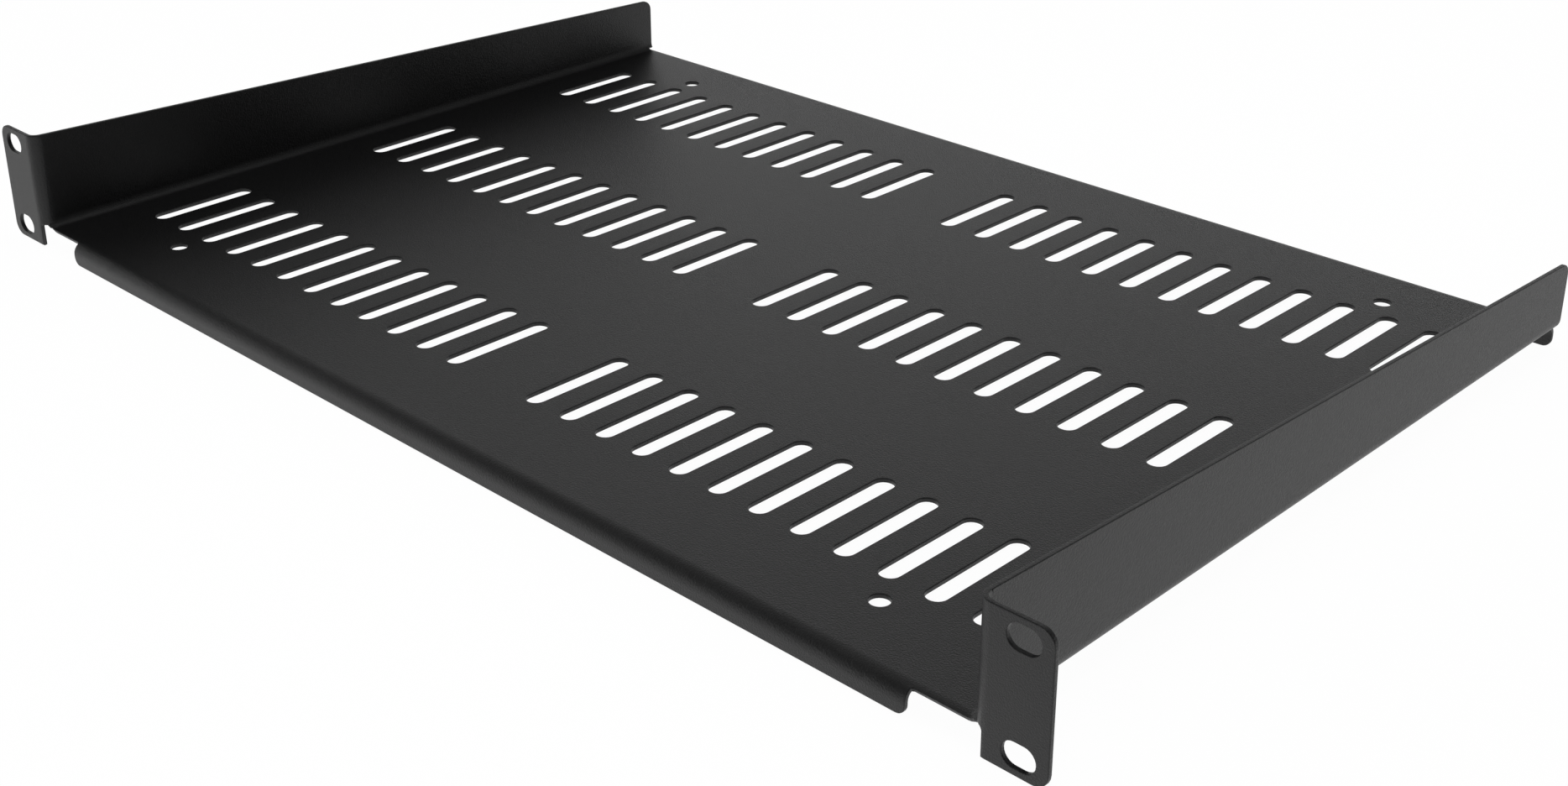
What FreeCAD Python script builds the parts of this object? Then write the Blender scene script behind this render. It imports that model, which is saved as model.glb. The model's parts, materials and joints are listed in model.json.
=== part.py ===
import FreeCAD, Part
import math
import os

import Sketcher

# Cantilever rack shelf for a 19-inch rack: one sheet of steel, cut flat and then folded.
#
# Frame, in millimetres: X runs across the rack, +Y goes back into it and +Z is up. The origin is the
# middle of the four mounting slots, on the back faces of the ears, where they meet the rack's rails.
# Fronts are measured from the ears' front faces, which the front lip is flush with.

SIZES = {
    # sheet
    "sheet": 1.5,
    "bend_radius": 2.8,
    # mounting ears
    "mount_spacing_x": 465.1,
    "mount_spacing_z": 31.75,
    "mount_slot_length": 10.0,
    "mount_slot_height": 7.0,
    "ear_side_margin": 8.75,
    "ear_end_margin": 5.6,
    "ear_corner_radius": 4.5,
    # flanges and deck
    "flange_to_mount": 12.8,
    "deck_above_ear_foot": 7.6,
    "flange_fall": 12.4,
    "flange_corner_radius": 4.0,
    "shelf_depth": 303.7,
    "flange_setback": 2.2,
    # lips
    "front_lip_inset": 21.4,
    "front_lip_height": 8.1,
    "back_lip_height": 8.7,
    "back_lip_inset": 2.45,
    "lip_corner_radius": 3.0,
    # reliefs beside the front bends
    "notch_setback": 2.3,
    "notch_radius": 1.0,
    "relief_rise": 0.7,
    "ear_foot_reach": 1.75,
    # ventilation slots
    "vent_length": 40.0,
    "vent_width": 6.5,
    "vents_from_front": 34.1,
    "vents_from_back": 33.6,
    "vents_from_left": 21.2,
    "vents_from_right": 26.8,
    "vent_aisle": 39.5,
    # round holes
    "hole_diameter": 6.0,
    "hole_from_side": 51.7,
    "hole_from_front": 25.2,
    "hole_from_back": 24.6,
}
VENTS_PER_BLOCK = 12
VENT_ROWS = 3
# How far a cutting profile reaches past the metal that it removes.
CUT_OVERSHOOT = 2.0


class Size:
    """A length that carries its value and the spreadsheet expression that drives it."""

    def __init__(self, value, text):
        self.value = value
        self.text = text

    def __add__(self, other):
        other = as_size(other)
        return Size(self.value + other.value, "(%s + %s)" % (self.text, other.text))

    def __sub__(self, other):
        other = as_size(other)
        return Size(self.value - other.value, "(%s - %s)" % (self.text, other.text))

    def __mul__(self, factor):
        return Size(self.value * factor, "(%s * %r)" % (self.text, factor))

    def __truediv__(self, divisor):
        return Size(self.value / divisor, "(%s / %r)" % (self.text, divisor))

    def __neg__(self):
        return Size(-self.value, "(-%s)" % self.text)


def as_size(number):
    """A plain number as a Size, so that both kinds can be mixed in one sum."""
    return number if isinstance(number, Size) else Size(float(number), repr(float(number)))


def make_sheet(document):
    """The spreadsheet of driving sizes; returns one Size for each of them, by name."""
    sheet = document.addObject("Spreadsheet::Sheet", "dims")
    for row, (name, value) in enumerate(SIZES.items(), start=1):
        sheet.set("A%d" % row, name)
        sheet.set("B%d" % row, str(value))
        sheet.setAlias("B%d" % row, name)
    document.recompute()
    return {name: Size(value, "dims." + name) for name, value in SIZES.items()}


# ---------------------------------------------------------------- sketches and features

def origin_feature(body, role):
    """The body's own origin plane or axis with this role, such as XY_Plane."""
    return next(item for item in body.Origin.OriginFeatures if item.Role == role)


def make_sketch(body, name, plane, offset=None):
    """An empty sketch on one of the body's origin planes, moved along its normal by offset."""
    sketch = body.newObject("Sketcher::SketchObject", name)
    sketch.AttachmentSupport = [(origin_feature(body, plane), "")]
    sketch.MapMode = "FlatFace"
    if offset is not None:
        sketch.setExpression("AttachmentOffset.Base.z", offset.text)
    return sketch


def drive(sketch, kind, *arguments):
    """Add a constraint whose last argument is a Size, and bind it to that size's expression."""
    size = as_size(arguments[-1])
    index = sketch.addConstraint(Sketcher.Constraint(kind, *arguments[:-1], size.value))
    sketch.setExpression("Constraints[%d]" % index, size.text)


def pin_point(sketch, geometry, position, u, v):
    """Fix a point of the sketch at (u, v) from the sketch's origin."""
    drive(sketch, "DistanceX", -1, 1, geometry, position, u)
    drive(sketch, "DistanceY", -1, 1, geometry, position, v)


def arc_between(start, end, radius, counterclockwise):
    """The short arc from start to end, as Sketcher stores it: always counterclockwise."""
    half_chord = math.dist(start, end) / 2
    height = math.sqrt(max(radius ** 2 - half_chord ** 2, 0.0))
    side = 1.0 if counterclockwise else -1.0
    normal = (-(end[1] - start[1]) * side, (end[0] - start[0]) * side)
    scale = height / (2 * half_chord)
    centre = [(start[axis] + end[axis]) / 2 + normal[axis] * scale for axis in (0, 1)]
    angles = [math.atan2(point[1] - centre[1], point[0] - centre[0]) for point in (start, end)]
    if not counterclockwise:
        angles.reverse()
    circle = Part.Circle(FreeCAD.Vector(*centre, 0), FreeCAD.Vector(0, 0, 1), radius)
    return Part.ArcOfCircle(circle, *angles)


def draw_outline(sketch, corners):
    """A closed outline through its corners.

    A corner is (u, v) where a straight edge leads on to the next corner, or (u, v, radius, turn)
    where an arc does, with turn "left" for a counterclockwise arc and "right" for a clockwise one.
    """
    first = sketch.GeometryCount
    ends = []
    for index, corner in enumerate(corners):
        following = corners[(index + 1) % len(corners)]
        start = (corner[0].value, corner[1].value)
        end = (following[0].value, following[1].value)
        if len(corner) == 2:
            edge = Part.LineSegment(FreeCAD.Vector(*start, 0), FreeCAD.Vector(*end, 0))
            ends.append((1, 2))
        else:
            edge = arc_between(start, end, corner[2].value, corner[3] == "left")
            ends.append((1, 2) if corner[3] == "left" else (2, 1))
        sketch.addGeometry(edge)
    for index, corner in enumerate(corners):
        geometry = first + index
        following = (index + 1) % len(corners)
        coincident = (geometry, ends[index][1], first + following, ends[following][0])
        sketch.addConstraint(Sketcher.Constraint("Coincident", *coincident))
        pin_point(sketch, geometry, ends[index][0], corner[0], corner[1])
        if len(corner) > 2:
            drive(sketch, "Radius", geometry, corner[2])


def draw_slot(sketch, centre, length, width, axis):
    """A slot with round ends about centre, as long as length along the sketch's u or v axis."""
    radius = width / 2
    reach = length / 2 - radius
    along = (1, 0) if axis == "u" else (0, 1)
    turn = 0.0 if axis == "u" else math.pi / 2
    first = sketch.GeometryCount
    centres = [[centre[i] + reach * (sign * along[i]) for i in (0, 1)] for sign in (1, -1)]
    for end, start_angle in zip(centres, (turn - math.pi / 2, turn + math.pi / 2)):
        middle = FreeCAD.Vector(end[0].value, end[1].value, 0)
        circle = Part.Circle(middle, FreeCAD.Vector(0, 0, 1), radius.value)
        sketch.addGeometry(Part.ArcOfCircle(circle, start_angle, start_angle + math.pi))
    near, far = sketch.Geometry[first], sketch.Geometry[first + 1]
    sketch.addGeometry(Part.LineSegment(near.EndPoint, far.StartPoint))
    sketch.addGeometry(Part.LineSegment(far.EndPoint, near.StartPoint))
    for arc, arc_end, line, line_end in ((0, 2, 2, 1), (1, 1, 2, 2), (1, 2, 3, 1), (0, 1, 3, 2)):
        tangent = (first + arc, arc_end, first + line, line_end)
        sketch.addConstraint(Sketcher.Constraint("Tangent", *tangent))
    sketch.addConstraint(Sketcher.Constraint("Equal", first, first + 1))
    drive(sketch, "Radius", first, radius)
    for offset, end in enumerate(centres):
        pin_point(sketch, first + offset, 3, *end)


def draw_circle(sketch, centre, diameter):
    """A full circle about centre."""
    middle = FreeCAD.Vector(centre[0].value, centre[1].value, 0)
    circle = Part.Circle(middle, FreeCAD.Vector(0, 0, 1), diameter.value / 2)
    geometry = sketch.addGeometry(circle)
    drive(sketch, "Diameter", geometry, diameter)
    pin_point(sketch, geometry, 3, *centre)


def mirror_corners(corners):
    """The same outline on the other side of the sketch's v axis."""
    mirrored = []
    for corner in corners:
        rest = corner[2:]
        if rest:
            rest = (rest[0], "right" if rest[1] == "left" else "left")
        mirrored.append((-corner[0], corner[1]) + rest)
    return mirrored


def make_pad(body, name, sketch, length, reverse=False, symmetric=False):
    """Thicken a sketch into metal."""
    pad = body.newObject("PartDesign::Pad", name)
    pad.Profile = sketch
    pad.Reversed = reverse
    pad.SideType = "Symmetric" if symmetric else "One side"
    pad.setExpression("Length", length.text)
    body.Document.recompute()
    return pad


def make_cut(body, name, sketch):
    """Cut a sketch through everything, to both sides of its plane, and check that it did."""
    before = body.Shape.Volume
    cut = body.newObject("PartDesign::Pocket", name)
    cut.Profile = sketch
    cut.SideType = "Two sides"
    cut.Type = "ThroughAll"
    cut.Type2 = "ThroughAll"
    body.Document.recompute()
    if not body.Shape.Volume < before:
        raise RuntimeError(name + " removed nothing")
    return cut


def make_fillet(body, name, radius, wanted):
    """Round the edges of the body's newest shape that the test picks by their middle point."""
    base = body.Tip
    picked = []
    for index, edge in enumerate(base.Shape.Edges, start=1):
        if edge.Curve.TypeId == "Part::GeomLine" and wanted(edge):
            picked.append("Edge%d" % index)
    if not picked:
        raise RuntimeError(name + " found no edges")
    fillet = body.newObject("PartDesign::Fillet", name)
    fillet.Base = (base, picked)
    fillet.setExpression("Radius", radius.text)
    body.Document.recompute()
    return fillet


def edge_middle(edge):
    """The point halfway along a straight edge."""
    return (edge.Vertexes[0].Point + edge.Vertexes[1].Point) / 2


def is_close(first, second):
    """Whether two coordinates name the same place."""
    return abs(first - second) < 0.01


# ---------------------------------------------------------------- the shelf, fold by fold

class Layout:
    """Places that several features share, worked out from the driving sizes."""

    def __init__(self, d):
        self.outer_bend = d["sheet"] + d["bend_radius"]
        self.half_width = d["mount_spacing_x"] / 2 - d["flange_to_mount"]
        self.half_inside = self.half_width - d["sheet"]
        self.deck_half_flat = self.half_width - self.outer_bend
        self.ear_top = d["mount_spacing_z"] / 2 + d["ear_end_margin"]
        self.ear_foot = -self.ear_top
        self.ear_edge = d["mount_spacing_x"] / 2 + d["ear_side_margin"]
        self.ear_root = self.half_inside + self.outer_bend
        self.ear_foot_side = self.half_width + d["ear_foot_reach"]
        self.deck_top = self.ear_foot + d["deck_above_ear_foot"]
        self.deck_under = self.deck_top - d["sheet"]
        self.front = -d["sheet"]
        self.back = self.front + d["shelf_depth"]
        self.flange_end = self.back - d["flange_setback"]
        self.notch_front = self.front + d["notch_setback"]
        self.relief_top = self.deck_top + d["relief_rise"]
        self.front_bend_end = self.front + self.outer_bend
        self.back_bend_end = self.back - self.outer_bend
        self.front_lip_end = self.half_width - d["front_lip_inset"]
        self.front_bend_reach = self.front_lip_end + d["notch_radius"] * 2
        self.front_lip_foot = self.deck_top - d["front_lip_height"]
        self.back_lip_end = self.half_width - d["back_lip_inset"]
        self.back_lip_foot = self.deck_top - d["back_lip_height"]


def add_channel(body, d, at):
    """Deck and both side flanges, as one U-shaped section run from front to back."""
    sketch = make_sketch(body, "ChannelSection", "XZ_Plane", -at.front)
    right = [
        (at.deck_half_flat, at.deck_under, at.outer_bend, "left"),
        (at.half_width, at.deck_under + at.outer_bend),
        (at.half_width, at.ear_top),
        (at.half_inside, at.ear_top),
        (at.half_inside, at.deck_top + d["bend_radius"], d["bend_radius"], "right"),
        (at.deck_half_flat, at.deck_top),
    ]
    left = [
        (-at.deck_half_flat, at.deck_top, d["bend_radius"], "right"),
        (-at.half_inside, at.deck_top + d["bend_radius"]),
        (-at.half_inside, at.ear_top),
        (-at.half_width, at.ear_top),
        (-at.half_width, at.deck_under + at.outer_bend, at.outer_bend, "left"),
        (-at.deck_half_flat, at.deck_under),
    ]
    draw_outline(sketch, right + left)
    make_pad(body, "Channel", sketch, at.flange_end - at.front, reverse=True)


def trim_flanges(body, d, at):
    """Slope the flanges' top edges down to the back, and free their fronts for the ear bends."""
    sketch = make_sketch(body, "FlangeTrimOutline", "YZ_Plane")
    over = at.ear_top + CUT_OVERSHOOT
    back_top = at.ear_top - d["flange_fall"]
    draw_outline(sketch, [
        (at.front - CUT_OVERSHOOT, at.relief_top),
        (at.front_bend_end, at.relief_top),
        (at.front_bend_end, at.ear_top),
        (at.flange_end, back_top),
        (at.flange_end + CUT_OVERSHOOT, back_top),
        (at.flange_end + CUT_OVERSHOOT, over),
        (at.front - CUT_OVERSHOOT, over),
    ])
    make_cut(body, "FlangeTrim", sketch)

    def at_back_top(edge):
        middle = edge_middle(edge)
        return is_close(middle.y, at.flange_end.value) and is_close(middle.z, back_top.value)

    make_fillet(body, "FlangeCorners", d["flange_corner_radius"], at_back_top)


def cut_lip_seats(body, at):
    """Take the flat deck away where the front and back bends begin."""
    sketch = make_sketch(body, "LipSeatOutline", "XY_Plane")
    draw_outline(sketch, [
        (-at.front_bend_reach, at.front - CUT_OVERSHOOT),
        (at.front_bend_reach, at.front - CUT_OVERSHOOT),
        (at.front_bend_reach, at.front_bend_end),
        (-at.front_bend_reach, at.front_bend_end),
    ])
    draw_outline(sketch, [
        (-at.deck_half_flat, at.back_bend_end),
        (at.deck_half_flat, at.back_bend_end),
        (at.deck_half_flat, at.flange_end + CUT_OVERSHOOT),
        (-at.deck_half_flat, at.flange_end + CUT_OVERSHOOT),
    ])
    make_cut(body, "LipSeats", sketch)


def add_front_lip(body, d, at):
    """The front bend and the lip below it, then the notches beside the lip's ends."""
    sketch = make_sketch(body, "FrontLipSection", "YZ_Plane")
    bend_foot = at.deck_top - at.outer_bend
    draw_outline(sketch, [
        (at.front_bend_end, at.deck_top, at.outer_bend, "left"),
        (at.front, bend_foot),
        (at.front, at.front_lip_foot),
        (at.front + d["sheet"], at.front_lip_foot),
        (at.front + d["sheet"], bend_foot, d["bend_radius"], "right"),
        (at.front_bend_end, at.deck_under),
    ])
    make_pad(body, "FrontLip", sketch, at.front_bend_reach * 2, symmetric=True)
    notch = make_sketch(body, "FrontNotchOutline", "XY_Plane")
    corners = [
        (at.front_lip_end, at.front - CUT_OVERSHOOT),
        (at.half_width + CUT_OVERSHOOT, at.front - CUT_OVERSHOOT),
        (at.half_width + CUT_OVERSHOOT, at.notch_front),
        (at.front_lip_end + d["notch_radius"], at.notch_front, d["notch_radius"], "left"),
        (at.front_lip_end, at.notch_front - d["notch_radius"]),
    ]
    draw_outline(notch, corners)
    draw_outline(notch, mirror_corners(corners))
    make_cut(body, "FrontNotches", notch)


def add_back_lip(body, d, at):
    """The back bend and its lip, which reach a little under the flanges' bends."""
    sketch = make_sketch(body, "BackLipSection", "YZ_Plane")
    bend_foot = at.deck_top - at.outer_bend
    draw_outline(sketch, [
        (at.back_bend_end, at.deck_under, d["bend_radius"], "right"),
        (at.back - d["sheet"], bend_foot),
        (at.back - d["sheet"], at.back_lip_foot),
        (at.back, at.back_lip_foot),
        (at.back, bend_foot, at.outer_bend, "left"),
        (at.back_bend_end, at.deck_top),
    ])
    make_pad(body, "BackLip", sketch, at.back_lip_end * 2, symmetric=True)


def round_lips(body, d, at):
    """Round the lower corners of both lips."""
    feet = ((at.front_lip_end, at.front_lip_foot), (at.back_lip_end, at.back_lip_foot))

    def at_lip_corner(edge):
        middle = edge_middle(edge)
        return any(is_close(abs(middle.x), x.value) and is_close(middle.z, z.value) for x, z in feet)

    make_fillet(body, "LipCorners", d["lip_corner_radius"], at_lip_corner)


def add_ears(body, d, at):
    """The upright bends that turn the flanges outward, and the slotted ears beyond them."""
    bend_sketch = make_sketch(body, "EarBendSection", "XY_Plane", at.relief_top)
    draw_outline(bend_sketch, [
        (at.half_inside, at.front_bend_end, at.outer_bend, "left"),
        (at.ear_root, at.front),
        (at.ear_root, at.front + d["sheet"], d["bend_radius"], "right"),
        (at.half_width, at.front_bend_end),
    ])
    bend = make_pad(body, "EarBend", bend_sketch, at.ear_top - at.relief_top)
    plate_sketch = make_sketch(body, "EarOutline", "XZ_Plane")
    draw_outline(plate_sketch, [
        (at.ear_foot_side, at.ear_foot),
        (at.ear_edge, at.ear_foot),
        (at.ear_edge, at.ear_top),
        (at.ear_root, at.ear_top),
        (at.ear_root, at.relief_top),
        (at.ear_foot_side, at.relief_top),
    ])
    for side in (1, -1):
        centre = (d["mount_spacing_x"] / 2, d["mount_spacing_z"] * (side / 2))
        draw_slot(plate_sketch, centre, d["mount_slot_length"], d["mount_slot_height"], "u")
    plate = make_pad(body, "Ear", plate_sketch, d["sheet"])
    mirror = body.newObject("PartDesign::Mirrored", "OtherEar")
    mirror.Originals = [bend, plate]
    mirror.MirrorPlane = (origin_feature(body, "YZ_Plane"), [""])
    body.Tip = mirror
    body.Document.recompute()

    def at_outer_corner(edge):
        middle = edge_middle(edge)
        outer = is_close(abs(middle.x), at.ear_edge.value)
        return outer and is_close(abs(middle.z), at.ear_top.value)

    make_fillet(body, "EarCorners", d["ear_corner_radius"], at_outer_corner)


def cut_vents(body, d, at):
    """Rows of long slots in two blocks, with an aisle between the blocks."""
    first_left = -at.half_width + d["vents_from_left"]
    last_right = at.half_width - d["vents_from_right"]
    block_width = (last_right - first_left - d["vent_aisle"]) / 2
    first_row = at.front + d["vents_from_front"] + d["vent_length"] / 2
    last_row = at.back - d["vents_from_back"] - d["vent_length"] / 2
    sketch = make_sketch(body, "VentOutline", "XY_Plane")
    for first_vent in (first_left, last_right - block_width):
        draw_slot(sketch, (first_vent, first_row), d["vent_length"], d["vent_width"], "v")
    vents = make_cut(body, "Vents", sketch)
    grid = body.newObject("PartDesign::LinearPattern", "VentGrid")
    grid.Originals = [vents]
    grid.Direction = (origin_feature(body, "X_Axis"), [""])
    grid.setExpression("Length", block_width.text)
    grid.Occurrences = VENTS_PER_BLOCK
    grid.Direction2 = (origin_feature(body, "Y_Axis"), [""])
    grid.setExpression("Length2", (last_row - first_row).text)
    grid.Occurrences2 = VENT_ROWS
    body.Tip = grid
    body.Document.recompute()


def cut_round_holes(body, d, at):
    """One round hole towards each corner of the deck."""
    sketch = make_sketch(body, "HoleOutline", "XY_Plane")
    across = at.half_width - d["hole_from_side"]
    rows = (at.front + d["hole_from_front"], at.back - d["hole_from_back"])
    for x in (-across, across):
        for y in rows:
            draw_circle(sketch, (x, y), d["hole_diameter"])
    make_cut(body, "RoundHoles", sketch)


def make_shelf(document, d):
    """The whole folded sheet."""
    body = document.addObject("PartDesign::Body", "Shelf")
    body.Label = "shelf_sheet"
    at = Layout(d)
    add_channel(body, d, at)
    trim_flanges(body, d, at)
    cut_lip_seats(body, at)
    add_front_lip(body, d, at)
    add_back_lip(body, d, at)
    round_lips(body, d, at)
    add_ears(body, d, at)
    cut_vents(body, d, at)
    cut_round_holes(body, d, at)
    return body


def check_document(document, bodies):
    """Stop before anything is written if a feature failed or a shape is not one sound solid."""
    for item in document.Objects:
        if "Invalid" in item.State or "Error" in item.State:
            raise RuntimeError("%s failed: %s" % (item.Name, item.State))
    for body in bodies:
        if body.Shape.isNull() or not body.Shape.isValid():
            raise RuntimeError(body.Label + " has no valid shape")
        if len(body.Shape.Solids) != 1:
            raise RuntimeError("%s is %d solids" % (body.Label, len(body.Shape.Solids)))


def main():
    document = FreeCAD.newDocument("CantileverRackShelf")
    shelf = make_shelf(document, make_sheet(document))
    document.recompute()
    check_document(document, [shelf])
    os.makedirs("parts", exist_ok=True)
    for body in [shelf]:
        body.Shape.exportStep("parts/%s.step" % body.Label)
        box = body.Shape.BoundBox
        size = (box.XLength, box.YLength, box.ZLength, body.Shape.Volume)
        print(body.Label, "%.2f x %.2f x %.2f mm, %.0f mm3" % size)


main()
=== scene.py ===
import json
import math

import bmesh
import bpy
from mathutils import Matrix, Vector


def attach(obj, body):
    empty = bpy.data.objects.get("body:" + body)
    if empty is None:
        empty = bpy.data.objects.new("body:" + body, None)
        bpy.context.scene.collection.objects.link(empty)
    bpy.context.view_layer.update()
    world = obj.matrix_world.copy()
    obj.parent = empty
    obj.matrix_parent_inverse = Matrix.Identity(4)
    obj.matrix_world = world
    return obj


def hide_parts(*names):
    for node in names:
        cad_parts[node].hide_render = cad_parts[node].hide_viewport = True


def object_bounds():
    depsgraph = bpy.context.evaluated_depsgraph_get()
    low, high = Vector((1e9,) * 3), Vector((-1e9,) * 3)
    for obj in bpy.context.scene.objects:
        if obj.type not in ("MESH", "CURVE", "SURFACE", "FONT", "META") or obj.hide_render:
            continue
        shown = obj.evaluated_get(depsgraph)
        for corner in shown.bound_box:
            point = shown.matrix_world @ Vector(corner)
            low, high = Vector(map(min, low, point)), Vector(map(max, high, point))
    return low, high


bl_info = {
    "name": "Cantilever rack shelf",
    "version": (1, 0, 0),
    "blender": (4, 5, 0),
    "location": "3D View > Sidebar > Rack shelf",
    "description": "A vented rack shelf, cut from one flat blank and folded, coated and staged",
    "category": "Object",
}

# The row frame, in metres: X runs across the rack, +Y goes back into it and +Z is up. The origin is
# the middle of the four mounting slots, on the back faces of the ears.

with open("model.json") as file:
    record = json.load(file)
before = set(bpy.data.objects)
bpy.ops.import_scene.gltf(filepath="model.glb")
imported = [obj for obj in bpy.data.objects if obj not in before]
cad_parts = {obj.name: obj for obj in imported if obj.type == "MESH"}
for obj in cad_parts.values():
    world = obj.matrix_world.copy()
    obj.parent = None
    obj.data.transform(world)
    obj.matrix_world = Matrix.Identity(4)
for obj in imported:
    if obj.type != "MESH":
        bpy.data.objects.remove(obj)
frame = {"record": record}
CAD_LOW, CAD_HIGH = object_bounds()
MOUNTS = {mount["name"]: mount for mount in frame["record"]["mounts"]}

SHEET_NODE = "shelf_sheet"
VENTS_PER_BLOCK = 12
VENT_ROWS = 3
FOLD_ANGLE = math.radians(90)
# Straight steps in each fold, in each quarter of a rounded corner, and round each rim.
FOLD_STEPS = 6
CORNER_STEPS = 6
RIM_STEPS = 3
# A point nearer than the first to a fold line counts as on it, and one nearer than the second to a
# cut as on the cut. Edges shorter than the third are dropped at the end.
HAIR = 1e-6
CUT_HAIR = 1e-7
SHORTEST_EDGE = 5e-6
# A slot's end radius, in halves of its width. The two quarter rounds of an end stay a hair apart,
# so that they don't meet in one point.
SLOT_END = 0.998
# How strongly the soft shading follows the broad faces over the narrow ones, where 50 is neutral.
FLAT_WEIGHT = 80

# The part of a noise texture's range that most of its values fill.
NOISE_LOW, NOISE_HIGH = 0.3, 0.7
# Where the grain starts to turn pale, and where it is palest.
GRAIN_DARK, GRAIN_PALE = 0.42, 0.78
# Sines of the heights at which the surround's levels are set: 0, 10, 20 and 45 degrees.
WALL_HEIGHTS = (0.0, 0.17, 0.34, 0.70)
# How far towards the bright side the surround is at its darkest and at its brightest.
DARKEST_AT, BRIGHTEST_AT = -0.5, 0.8
# The width of the camera's frame, in millimetres, and how near a thing still shows, in metres.
FRAME_WIDTH = 36.0
NEAREST_SEEN = 0.01


def length(name, description, millimetres):
    """A length of the shelf that a user may change."""
    return bpy.props.FloatProperty(
        name=name, description=description, default=millimetres / 1000, unit="LENGTH", precision=5
    )


def number(name, description, default, low=0.0, high=1.0):
    """A plain number, such as a roughness."""
    return bpy.props.FloatProperty(
        name=name, description=description, default=default, min=low, max=high
    )


def colour(name, description, default):
    """A linear colour."""
    return bpy.props.FloatVectorProperty(
        name=name, description=description, default=default, subtype="COLOR", min=0, max=1
    )


def place(name, description, default):
    """A point in the row frame."""
    return bpy.props.FloatVectorProperty(
        name=name, description=description, default=default, subtype="TRANSLATION", unit="LENGTH"
    )


# ---------------------------------------------------------------- settings


class SheetSizes(bpy.types.PropertyGroup):
    """Sizes of the sheet that the frame's box and mounts don't give."""

    sheet: length("Sheet", "Thickness of the steel", 1.5)
    bend_radius: length("Bend radius", "Inside radius of every fold", 2.8)
    edge_round: length("Edge rounding", "How far the coat rounds the cut edges", 0.32)
    flange_to_mount: length("Flange to mount", "From a flange's face to the slots' centres", 12.8)
    flange_fall: length("Flange fall", "How far a flange's top edge falls to the back", 12.4)
    flange_setback: length("Flange setback", "How far a flange ends before the back lip", 2.2)
    flange_corner: length("Flange corner", "Radius of a flange's back upper corner", 4.0)
    ear_corner: length("Ear corner", "Radius of an ear's outer corners", 4.5)
    front_lip_inset: length(
        "Front lip inset", "From the flange's outer face to the front lip's end", 21.4
    )
    front_lip_height: length("Front lip height", "From the deck's top to the front lip's foot", 8.1)
    back_lip_inset: length(
        "Back lip inset", "From the flange's outer face to the back lip's end", 2.45
    )
    lip_corner: length("Lip corner", "Radius of the lips' lower corners", 3.0)
    notch_setback: length(
        "Notch setback", "From the front lip's face to the deck's edge beside it", 2.3
    )
    notch_corner: length("Notch corner", "Radius in the inner corners of the notches", 1.0)
    relief_rise: length("Relief rise", "From the deck's top to the foot of the ear's fold", 0.7)
    ear_foot_reach: length("Ear foot reach", "From a flange's outer face to its ear's foot", 1.75)
    slit_width: length("Slit width", "Width of the slit beside the back fold", 0.7)
    vent_length: length("Vent length", "Length of a vent slot from end to end", 40.0)
    vent_width: length("Vent width", "Width of a vent slot", 6.5)
    vents_from_front: length("Vents from front", "From the front lip's face to the first row", 34.1)
    vents_from_back: length("Vents from back", "From the back lip's face to the last row", 33.6)
    vents_from_left: length(
        "Vents from left", "From the left flange to the first vent's centre", 21.2
    )
    vents_from_right: length(
        "Vents from right", "From the right flange to the last vent's centre", 26.8
    )
    vent_aisle: length("Vent aisle", "Between the blocks' nearest vent centres", 39.5)


class CoatLook(bpy.types.PropertyGroup):
    """The fine-textured powder coat."""

    black: colour("Black", "The coat's colour", (0.0050, 0.0050, 0.0054))
    speck: colour("Speck", "The coat's colour at its palest grains", (0.0130, 0.0130, 0.0136))
    roughness: number("Roughness", "Middle roughness of the coat", 0.42)
    roughness_spread: number("Roughness spread", "How far the roughness wanders", 0.12)
    gloss: number("Gloss", "Specular level of the coat", 0.47)
    grain: length("Grain", "Size of the coat's grain", 0.5)
    grain_depth: length("Grain depth", "Height of the coat's grain", 0.20)
    orange_peel: length("Orange peel", "Size of the coat's soft waves", 5.0)
    orange_peel_depth: length("Orange peel depth", "Height of the coat's soft waves", 0.02)


class StageLook(bpy.types.PropertyGroup):
    """Floor, lamps and camera."""

    floor_colour: colour("Floor", "Colour of the floor", (0.80, 0.80, 0.80))
    floor_shade: number("Floor shade", "How much of the floor's own shading the camera sees", 0.08)
    floor_glow: number("Floor glow", "How white the floor shows", 1.06, high=2.0)
    floor_size: length("Floor size", "Side of the square floor", 30000.0)
    surround: number("Surround", "Strength of the soft light from all round", 1.5, high=5.0)
    horizon: number("Horizon", "Level of the surround at the horizon", 0.5)
    low_wall: number("Low wall", "Level of the surround 10 degrees up", 1.0)
    high_wall: number("High wall", "Level of the surround 20 degrees up", 0.31)
    ceiling: number("Ceiling", "Level of the surround from 45 degrees up", 0.07)
    bright_side: place("Bright side", "Direction of the brightest wall", (-0.75, 0.66, 0.0))
    dark_side: number("Dark side", "Level of the wall across from the brightest one", 0.08)
    softbox_power: number(
        "Softbox power", "Power of the soft lamp overhead, in watts", 6.0, high=500
    )
    softbox_size: length("Softbox size", "Side of the soft lamp overhead", 1200.0)
    softbox_place: place("Softbox", "Where the soft lamp hangs", (0.1, 0.0, 1.5))
    camera_place: place("Camera", "Where the camera stands", (0.46429, -0.31634, 0.27441))
    camera_aim: place(
        "Aim", "Point on the deck that the lens's axis meets", (0.01095, 0.15083, -0.01388)
    )
    camera_roll: number("Roll", "How far the camera leans to its right, in degrees", 0.19, -90, 90)
    camera_lens: number("Lens", "Focal length in millimetres on a 36 mm frame", 47.5, 1, 500)
    camera_shift: number("Shift", "How far the frame moves down on the image", -0.0707, -1, 1)


# ---------------------------------------------------------------- the blank


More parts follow.
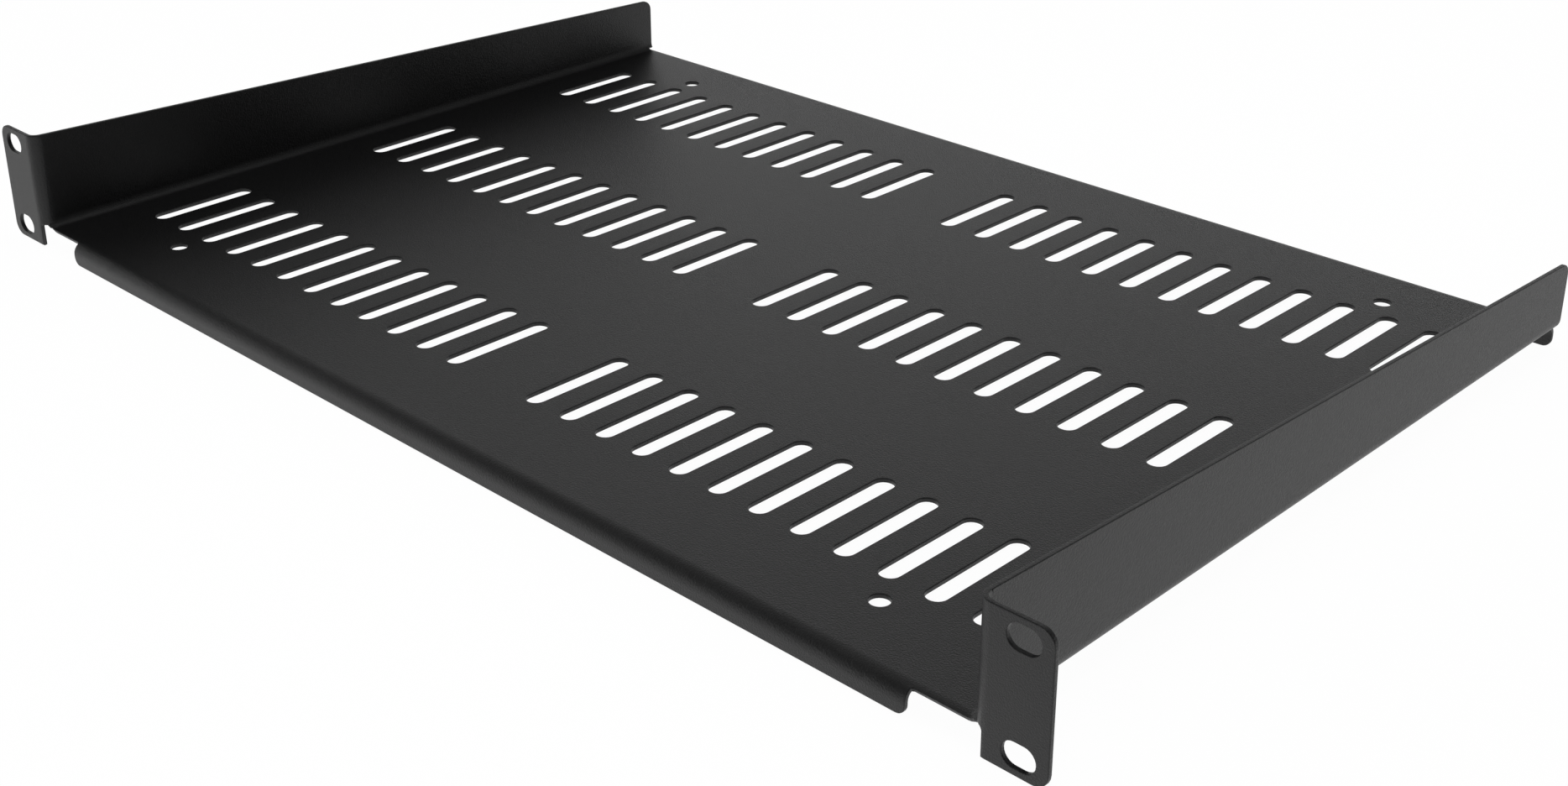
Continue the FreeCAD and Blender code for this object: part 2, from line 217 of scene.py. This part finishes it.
class Blank:
    """The flat blank: u runs across it and v runs back, in the plane of the deck's upper side.

    The upper side turns into the inner faces of the flanges, the front faces of the ears and the
    outer faces of the lips. Folded up, its radius is the bend's inside radius; folded down, it is
    the outside one.
    """

    def __init__(self, sizes):
        ears = MOUNTS["ears"]["dims"]
        outside = sizes.bend_radius + sizes.sheet
        self.up_step = fold_step(sizes.bend_radius)
        self.down_step = fold_step(outside)
        up_length = self.up_step * FOLD_STEPS
        down_length = self.down_step * FOLD_STEPS
        mount_x = ears["spacing_x_mm"] / 2000
        self.half_width = mount_x - sizes.flange_to_mount
        self.deck_top = MOUNTS["deck"]["pos_m"][2]
        self.side_fold = self.half_width - outside
        self.front_fold = CAD_LOW.y + outside
        self.back_fold = CAD_HIGH.y - outside
        self.flange_foot = self.side_fold + up_length
        flange_foot_z = self.deck_top + sizes.bend_radius
        self.flange_top = self.flange_foot + CAD_HIGH.z - flange_foot_z
        self.flange_back_top = self.flange_top - sizes.flange_fall
        self.flange_back = CAD_HIGH.y - sizes.flange_setback
        self.ear_root = self.front_fold - down_length
        ear_root_x = self.half_width - sizes.sheet + outside
        self.ear_edge = self.ear_root - (CAD_HIGH.x - ear_root_x)
        self.ear_foot = self.flange_foot - CAD_HIGH.z - flange_foot_z
        slot_height = ears["spacing_y_mm"] / 2000
        self.ear_slots = [
            (self.flange_foot + z - flange_foot_z, self.ear_root - (mount_x - ear_root_x))
            for z in (slot_height, -slot_height)
        ]
        self.lip_end = self.half_width - sizes.front_lip_inset
        self.back_lip_end = self.half_width - sizes.back_lip_inset
        self.slit = self.back_lip_end + sizes.slit_width
        self.front_foot = self.ear_root - (sizes.front_lip_height - outside)
        self.back_foot = self.back_fold + down_length + self.deck_top - outside - CAD_LOW.z
        self.notch_edge = CAD_LOW.y + sizes.notch_setback
        # The relief beside an ear ends on the score lines nearest to its height and to its side.
        turn = math.acos(1 - sizes.relief_rise / sizes.bend_radius)
        self.relief = self.side_fold + self.up_step * round(turn / FOLD_ANGLE * FOLD_STEPS)
        foot_x = self.half_width + sizes.ear_foot_reach
        turn = math.asin((ear_root_x - foot_x) / outside)
        self.relief_side = self.ear_root + self.down_step * round(turn / FOLD_ANGLE * FOLD_STEPS)
        self.support = sizes.edge_round * 2
        self.set_vents(sizes)

    def set_vents(self, sizes):
        """Centres of the vent slots, and the lines that part the blank into cells around them."""
        first_left = -self.half_width + sizes.vents_from_left
        last_right = self.half_width - sizes.vents_from_right
        block = (last_right - first_left - sizes.vent_aisle) / 2
        pitch = block / (VENTS_PER_BLOCK - 1)
        half_length = sizes.vent_length / 2
        first_row = CAD_LOW.y + sizes.vents_from_front + half_length
        last_row = CAD_HIGH.y - sizes.vents_from_back - half_length
        row_pitch = (last_row - first_row) / (VENT_ROWS - 1)
        columns = [
            first + i * pitch
            for first in (first_left, last_right - block)
            for i in range(VENTS_PER_BLOCK)
        ]
        rows = [first_row + i * row_pitch for i in range(VENT_ROWS)]
        self.vents = [(u, v) for v in rows for u in columns]
        self.cell_sides = sorted({u + side * pitch / 2 for u in columns for side in (-1, 1)})
        reach = half_length + pitch / 4
        self.cell_ends = [v + side * reach for v in rows for side in (-1, 1)]

    def is_in_ear(self, point):
        """Whether a point of the flat blank belongs to an ear or its fold, and not to the deck."""
        past_lip = abs(point.x) > (self.lip_end + self.ear_foot) / 2
        below_notch = point.y < (self.relief_side + self.notch_edge) / 2
        in_fold = abs(point.x) > self.relief - HAIR and point.y < self.front_fold - HAIR
        return (past_lip and below_notch) or in_fold

    def is_in_back_lip(self, point):
        """Whether a point of the flat blank lies beyond the back fold and within the slits."""
        inside = abs(point.x) < (self.back_lip_end + self.slit) / 2
        return inside and point.y > self.back_fold + HAIR


def fold_step(radius):
    """Length of one straight step of a fold of this radius."""
    return 2 * radius * math.sin(FOLD_ANGLE / FOLD_STEPS / 2)


def draw_outline(blank, corners):
    """A closed outline through its corners, each (u, v, radius), with the corners rounded."""
    verts = [blank.verts.new((u, v, 0)) for u, v, _ in corners]
    blank.faces.new(verts)
    radii = sorted({radius for _, _, radius in corners if radius > 0})
    for radius in radii:
        rounded = [vert for vert, corner in zip(verts, corners) if corner[2] == radius]
        bmesh.ops.bevel(
            blank,
            geom=rounded,
            offset=radius,
            offset_type="OFFSET",
            affect="VERTICES",
            segments=CORNER_STEPS,
            profile=0.5,
            material=-1,
        )


def draw_slot(blank, centre, across, along):
    """A slot with round ends, along v where along is the longer side."""
    radius = min(across, along) / 2 * SLOT_END
    corners = [
        (centre[0] + i * across / 2, centre[1] + j * along / 2, radius)
        for i, j in ((-1, -1), (1, -1), (1, 1), (-1, 1))
    ]
    draw_outline(blank, corners)


def draw_hole(blank, centre, radius):
    """A round hole."""
    matrix = Matrix.Translation((centre[0], centre[1], 0))
    bmesh.ops.create_circle(
        blank, cap_ends=True, radius=radius, segments=4 * CORNER_STEPS, matrix=matrix
    )


def blank_outline(at, sizes):
    """Corners of the blank's outer edge, right side and then left."""
    right = [
        (at.lip_end, at.front_foot, sizes.lip_corner),
        (at.lip_end, at.notch_edge, sizes.notch_corner),
        (at.relief, at.notch_edge, sizes.notch_corner),
        (at.relief, at.relief_side, sizes.notch_corner),
        (at.ear_foot, at.relief_side, 0),
        (at.ear_foot, at.ear_edge, sizes.ear_corner),
        (at.flange_top, at.ear_edge, sizes.ear_corner),
        (at.flange_top, at.front_fold, 0),
        (at.flange_back_top, at.flange_back, sizes.flange_corner),
        (at.slit, at.flange_back, 0),
        (at.slit, at.back_fold, 0),
        (at.back_lip_end, at.back_fold, 0),
        (at.back_lip_end, at.back_foot, sizes.lip_corner),
    ]
    left = [(-u, v, radius) for u, v, radius in reversed(right)]
    return right + left


def cut_blank(at, sizes):
    """The flat blank with every hole in it, as thick as the sheet and with its rims rounded."""
    blank = bmesh.new()
    draw_outline(blank, blank_outline(at, sizes))
    for centre in at.vents:
        draw_slot(blank, centre, sizes.vent_width, sizes.vent_length)
    ears = MOUNTS["ears"]["dims"]
    for side in (1, -1):
        for u, v in at.ear_slots:
            width, along = ears["hole_r_mm"] / 500, ears["slot_length_mm"] / 1000
            draw_slot(blank, (side * u, v), width, along)
    holes = MOUNTS["deck_holes"]
    middle = holes["pos_m"]
    for i in (-1, 1):
        for j in (-1, 1):
            u = middle[0] + i * holes["dims"]["spacing_x_mm"] / 2000
            v = middle[1] + j * holes["dims"]["spacing_y_mm"] / 2000
            draw_hole(blank, (u, v), holes["dims"]["hole_r_mm"] / 1000)
    bmesh.ops.delete(blank, geom=blank.faces[:], context="FACES_ONLY")
    bmesh.ops.triangle_fill(blank, edges=blank.edges[:], use_beauty=True, normal=(0, 0, 1))
    downward = [face for face in blank.faces if face.normal.z < 0]
    bmesh.ops.reverse_faces(blank, faces=downward)
    for v in at.cell_ends:
        score(blank, (0, v, 0), (0, 1, 0))
    for u in at.cell_sides:
        score(blank, (u, 0, 0), (1, 0, 0))
    bmesh.ops.solidify(blank, geom=blank.faces[:], thickness=sizes.sheet)
    blank.normal_update()
    bmesh.ops.bevel(
        blank,
        geom=[edge for edge in blank.edges if is_rim(edge)],
        offset=sizes.edge_round,
        offset_type="OFFSET",
        affect="EDGES",
        segments=RIM_STEPS,
        profile=0.5,
        material=-1,
        clamp_overlap=False,
        loop_slide=False,
    )
    return blank


def is_rim(edge):
    """Whether an edge of the flat blank parts a broad side from a cut side."""
    rises = sorted(abs(face.normal.z) for face in edge.link_faces)
    return len(rises) == 2 and rises[0] < 0.5 < rises[1]


# ---------------------------------------------------------------- folding


def score(blank, point, normal):
    """Cut the blank along a line, so that it can fold there."""
    geometry = blank.verts[:] + blank.edges[:] + blank.faces[:]
    bmesh.ops.bisect_plane(blank, geom=geometry, dist=CUT_HAIR, plane_co=point, plane_no=normal)


def fold(blank, start, step, outward, axis, past):
    """Fold the blank up or down by a right angle.

    The fold begins on the line through start and runs outward in steps; past(vert, distance) says
    how far a vertex lies beyond the line at that distance. What lies beyond turns with the line,
    and what lies on it turns by half as much. The outermost line folds first, so every line is
    still in its flat place when its turn comes.
    """
    for index in range(FOLD_STEPS, -1, -1):
        distance = index * step
        ends = index in (0, FOLD_STEPS)
        angle = FOLD_ANGLE / FOLD_STEPS / (2 if ends else 1)
        reach = {vert: past(vert, distance) for vert in blank.verts}
        beyond = [vert for vert, gap in reach.items() if gap > HAIR]
        on_line = [vert for vert, gap in reach.items() if abs(gap) <= HAIR]
        for verts, turn in ((beyond, angle), (on_line, angle / 2)):
            bmesh.ops.rotate(
                blank,
                verts=verts,
                cent=start + outward * distance,
                matrix=Matrix.Rotation(turn, 3, axis),
            )


def fold_blank(blank, at, sizes):
    """Turn the lips and ears down and the flanges up, and drop the tiniest edges."""
    lines = range(FOLD_STEPS + 1)
    front = [at.front_fold - i * at.down_step for i in lines]
    back = [at.back_fold + i * at.down_step for i in lines]
    side = [at.side_fold + i * at.up_step for i in lines]
    # Support lines keep each fold's soft shading away from the flat faces beside it.
    v_lines = front + back + [front[0] + at.support, front[-1] - at.support]
    v_lines += [back[0] - at.support, back[-1] + at.support]
    u_lines = side + [side[0] - at.support, side[-1] + at.support]
    for v in v_lines:
        score(blank, (0, v, 0), (0, 1, 0))
    for u in u_lines + [-u for u in u_lines]:
        score(blank, (u, 0, 0), (1, 0, 0))
    flat = {vert: vert.co.copy() for vert in blank.verts}
    ears = {vert for vert, co in flat.items() if at.is_in_ear(co)}
    lip = {vert for vert, co in flat.items() if at.is_in_back_lip(co)}

    def past_front(vert, distance):
        return at.front_fold - distance - flat[vert].y

    def past_back(vert, distance):
        return flat[vert].y - at.back_fold - distance if vert in lip else -1

    forward, backward = Vector((0, -1, 0)), Vector((0, 1, 0))
    front_start, back_start = backward * at.front_fold, backward * at.back_fold
    fold(blank, front_start, at.down_step, forward, (1, 0, 0), past_front)
    fold(blank, back_start, at.down_step, backward, (-1, 0, 0), past_back)
    for sign in (1, -1):

        def past_side(vert, distance, sign=sign):
            reach = flat[vert].x * sign
            if vert in lip:
                return -1
            return 1 if reach > 0 and vert in ears else reach - at.side_fold - distance

        outward = Vector((sign, 0, 0))
        fold(blank, outward * at.side_fold, at.up_step, outward, (0, -sign, 0), past_side)
    bmesh.ops.translate(blank, verts=blank.verts[:], vec=(0, 0, at.deck_top))
    bmesh.ops.dissolve_degenerate(blank, edges=blank.edges[:], dist=SHORTEST_EDGE)


# ---------------------------------------------------------------- materials


def add_node(tree, kind, inputs=None, **settings):
    """A shader node with its settings and the values of its inputs."""
    node = tree.nodes.new(kind)
    for key, value in settings.items():
        setattr(node, key, value)
    for key, value in (inputs or {}).items():
        node.inputs[key].default_value = value
    return node


def new_material(name):
    """An empty node material, its tree and its output node."""
    material = bpy.data.materials.new(name)
    material.use_nodes = True
    tree = material.node_tree
    tree.nodes.clear()
    return material, tree, add_node(tree, "ShaderNodeOutputMaterial")


def powder_coat(look):
    """Black powder coat: soft waves under a fine grain, paler and rougher at the grain's tops."""
    material, tree, output = new_material("fine_textured_black_coat")
    link = tree.links.new
    where = add_node(tree, "ShaderNodeTexCoord")
    grain = add_node(
        tree, "ShaderNodeTexNoise", {"Scale": 1 / look.grain, "Detail": 3.0, "Roughness": 0.6}
    )
    waves = add_node(
        tree, "ShaderNodeTexNoise", {"Scale": 1 / look.orange_peel, "Detail": 2.0, "Roughness": 0.5}
    )
    for texture in (grain, waves):
        link(where.outputs["Object"], texture.inputs["Vector"])
    tint = add_node(tree, "ShaderNodeValToRGB")
    dark, pale = tint.color_ramp.elements
    dark.position, dark.color = GRAIN_DARK, (*look.black, 1)
    pale.position, pale.color = GRAIN_PALE, (*look.speck, 1)
    link(grain.outputs["Fac"], tint.inputs["Fac"])
    rough = add_node(
        tree,
        "ShaderNodeMapRange",
        {
            "From Min": NOISE_LOW,
            "From Max": NOISE_HIGH,
            "To Min": look.roughness - look.roughness_spread / 2,
            "To Max": look.roughness + look.roughness_spread / 2,
        },
    )
    link(grain.outputs["Fac"], rough.inputs["Value"])
    swell = add_node(
        tree, "ShaderNodeBump", {"Strength": 1.0, "Distance": look.orange_peel_depth}
    )
    link(waves.outputs["Fac"], swell.inputs["Height"])
    bump = add_node(tree, "ShaderNodeBump", {"Strength": 1.0, "Distance": look.grain_depth})
    link(grain.outputs["Fac"], bump.inputs["Height"])
    link(swell.outputs["Normal"], bump.inputs["Normal"])
    coat = add_node(tree, "ShaderNodeBsdfPrincipled", {"Specular IOR Level": look.gloss})
    link(tint.outputs["Color"], coat.inputs["Base Color"])
    link(rough.outputs["Result"], coat.inputs["Roughness"])
    link(bump.outputs["Normal"], coat.inputs["Normal"])
    link(coat.outputs["BSDF"], output.inputs["Surface"])
    return material


def seen_directly(tree):
    """A socket that is 1 for rays that show a background: camera, mirror and see-through rays."""
    path = add_node(tree, "ShaderNodeLightPath")
    either = add_node(tree, "ShaderNodeMath", operation="MAXIMUM")
    any_of_three = add_node(tree, "ShaderNodeMath", operation="MAXIMUM")
    tree.links.new(path.outputs["Is Camera Ray"], either.inputs[0])
    tree.links.new(path.outputs["Is Glossy Ray"], either.inputs[1])
    tree.links.new(either.outputs["Value"], any_of_three.inputs[0])
    tree.links.new(path.outputs["Is Transmission Ray"], any_of_three.inputs[1])
    return any_of_three.outputs["Value"]


def pale_floor(look):
    """A pale matt floor that shows nearly white, with a light shadow left on it."""
    material, tree, output = new_material("pale_floor")
    link = tree.links.new
    matt = add_node(tree, "ShaderNodeBsdfDiffuse", {"Color": (*look.floor_colour, 1)})
    white = add_node(tree, "ShaderNodeEmission", {"Strength": look.floor_glow})
    shaded = add_node(tree, "ShaderNodeMixShader", {"Fac": look.floor_shade})
    link(white.outputs["Emission"], shaded.inputs[1])
    link(matt.outputs["BSDF"], shaded.inputs[2])
    mix = add_node(tree, "ShaderNodeMixShader")
    link(seen_directly(tree), mix.inputs["Fac"])
    link(matt.outputs["BSDF"], mix.inputs[1])
    link(shaded.outputs["Shader"], mix.inputs[2])
    link(mix.outputs["Shader"], output.inputs["Surface"])
    return material


# ---------------------------------------------------------------- pieces


def new_piece(name, mesh_data, material):
    """An object at the origin for a finished mesh."""
    mesh = bpy.data.meshes.new(name)
    mesh_data.to_mesh(mesh)
    mesh_data.free()
    mesh.materials.append(material)
    piece = bpy.data.objects.new(name, mesh)
    bpy.context.scene.collection.objects.link(piece)
    return piece


class SHELF_OT_sheet(bpy.types.Operator):
    """Cut the blank out of the sheet, fold it and coat it"""

    bl_idname = "rack_shelf.sheet"
    bl_label = "Folded sheet"

    def execute(self, context):
        sizes = context.scene.shelf_sizes
        at = Blank(sizes)
        blank = cut_blank(at, sizes)
        fold_blank(blank, at, sizes)
        for face in blank.faces:
            face.smooth = True
        piece = new_piece("folded_sheet", blank, powder_coat(context.scene.shelf_coat))
        piece.modifiers.new("Flat faces stay flat", "WEIGHTED_NORMAL").weight = FLAT_WEIGHT
        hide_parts(SHEET_NODE)
        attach(piece, "root")
        return {"FINISHED"}


def hang_softbox(look):
    """A square soft lamp over the shelf, turned to its middle."""
    light = bpy.data.lights.new("softbox", "AREA")
    light.shape = "SQUARE"
    light.size = look.softbox_size
    light.energy = look.softbox_power
    lamp = bpy.data.objects.new("softbox", light)
    lamp.location = look.softbox_place
    middle = (CAD_LOW + CAD_HIGH) / 2
    lamp.rotation_euler = (middle - lamp.location).to_track_quat("-Z", "Y").to_euler()
    bpy.context.scene.collection.objects.link(lamp)


def light_world(look):
    """Soft light from all round, from pale low walls on one side to a dark ceiling."""
    world = bpy.data.worlds.new("studio")
    world.use_nodes = True
    tree = world.node_tree
    tree.nodes.clear()
    link = tree.links.new
    output = add_node(tree, "ShaderNodeOutputWorld")
    where = add_node(tree, "ShaderNodeTexCoord")
    height = add_node(tree, "ShaderNodeSeparateXYZ")
    shade = add_node(tree, "ShaderNodeValToRGB")
    walls = shade.color_ramp.elements
    levels = (look.horizon, look.low_wall, look.high_wall, look.ceiling)
    while len(walls) < len(levels):
        walls.new(1.0)
    for wall, height_sine, level in zip(walls, WALL_HEIGHTS, levels):
        wall.position = height_sine
        wall.color = (level, level, level, 1)
    toward = add_node(tree, "ShaderNodeVectorMath", operation="DOT_PRODUCT")
    toward.inputs[1].default_value = look.bright_side
    turned = add_node(
        tree,
        "ShaderNodeMapRange",
        {
            "From Min": DARKEST_AT,
            "From Max": BRIGHTEST_AT,
            "To Min": look.dark_side,
            "To Max": 1.0,
        },
    )
    dimmed = add_node(tree, "ShaderNodeVectorMath", operation="SCALE")
    light = add_node(tree, "ShaderNodeBackground", {"Strength": look.surround})
    link(where.outputs["Generated"], height.inputs["Vector"])
    link(where.outputs["Generated"], toward.inputs[0])
    link(height.outputs["Z"], shade.inputs["Fac"])
    link(toward.outputs["Value"], turned.inputs["Value"])
    link(shade.outputs["Color"], dimmed.inputs[0])
    link(turned.outputs["Result"], dimmed.inputs["Scale"])
    link(dimmed.outputs["Vector"], light.inputs["Color"])
    link(light.outputs["Background"], output.inputs["Surface"])
    bpy.context.scene.world = world


def place_camera(look):
    """The camera, aimed at a point on the deck."""
    data = bpy.data.cameras.new("camera")
    data.sensor_width = FRAME_WIDTH
    data.lens = look.camera_lens
    data.shift_y = look.camera_shift
    data.clip_start = NEAREST_SEEN
    camera = bpy.data.objects.new("camera", data)
    bpy.context.scene.collection.objects.link(camera)
    stand = Vector(look.camera_place)
    aim = (Vector(look.camera_aim) - stand).to_track_quat("-Z", "Y").to_matrix().to_4x4()
    roll = Matrix.Rotation(math.radians(-look.camera_roll), 4, "Z")
    camera.matrix_world = Matrix.Translation(stand) @ aim @ roll
    bpy.context.scene.camera = camera


class SHELF_OT_stage(bpy.types.Operator):
    """Lay the floor, light it and set up the camera"""

    bl_idname = "rack_shelf.stage"
    bl_label = "Stage"

    def execute(self, context):
        look = context.scene.shelf_stage
        floor = bmesh.new()
        half, matrix = look.floor_size / 2, Matrix.Translation((0, 0, CAD_LOW.z))
        bmesh.ops.create_grid(floor, x_segments=1, y_segments=1, size=half, matrix=matrix)
        new_piece("floor", floor, pale_floor(look))
        light_world(look)
        hang_softbox(look)
        place_camera(look)
        context.scene.view_settings.view_transform = "Standard"
        return {"FINISHED"}


class SHELF_PT_panel(bpy.types.Panel):
    """The shelf's steps, in order"""

    bl_idname = "SHELF_PT_panel"
    bl_label = "Rack shelf"
    bl_space_type = "VIEW_3D"
    bl_region_type = "UI"
    bl_category = "Rack shelf"

    def draw(self, context):
        for operator in OPERATORS:
            self.layout.operator(operator.bl_idname)


SETTINGS = {"shelf_sizes": SheetSizes, "shelf_coat": CoatLook, "shelf_stage": StageLook}
OPERATORS = (SHELF_OT_sheet, SHELF_OT_stage)
CLASSES = (*SETTINGS.values(), *OPERATORS, SHELF_PT_panel)


def register():
    for item in CLASSES:
        bpy.utils.register_class(item)
    for name, group in SETTINGS.items():
        setattr(bpy.types.Scene, name, bpy.props.PointerProperty(type=group))


def unregister():
    for name in SETTINGS:
        delattr(bpy.types.Scene, name)
    for item in reversed(CLASSES):
        bpy.utils.unregister_class(item)


def main():
    """Build the shelf and its stage."""
    register()
    bpy.ops.rack_shelf.sheet()
    bpy.ops.rack_shelf.stage()


if __name__ == "__main__":
    main()
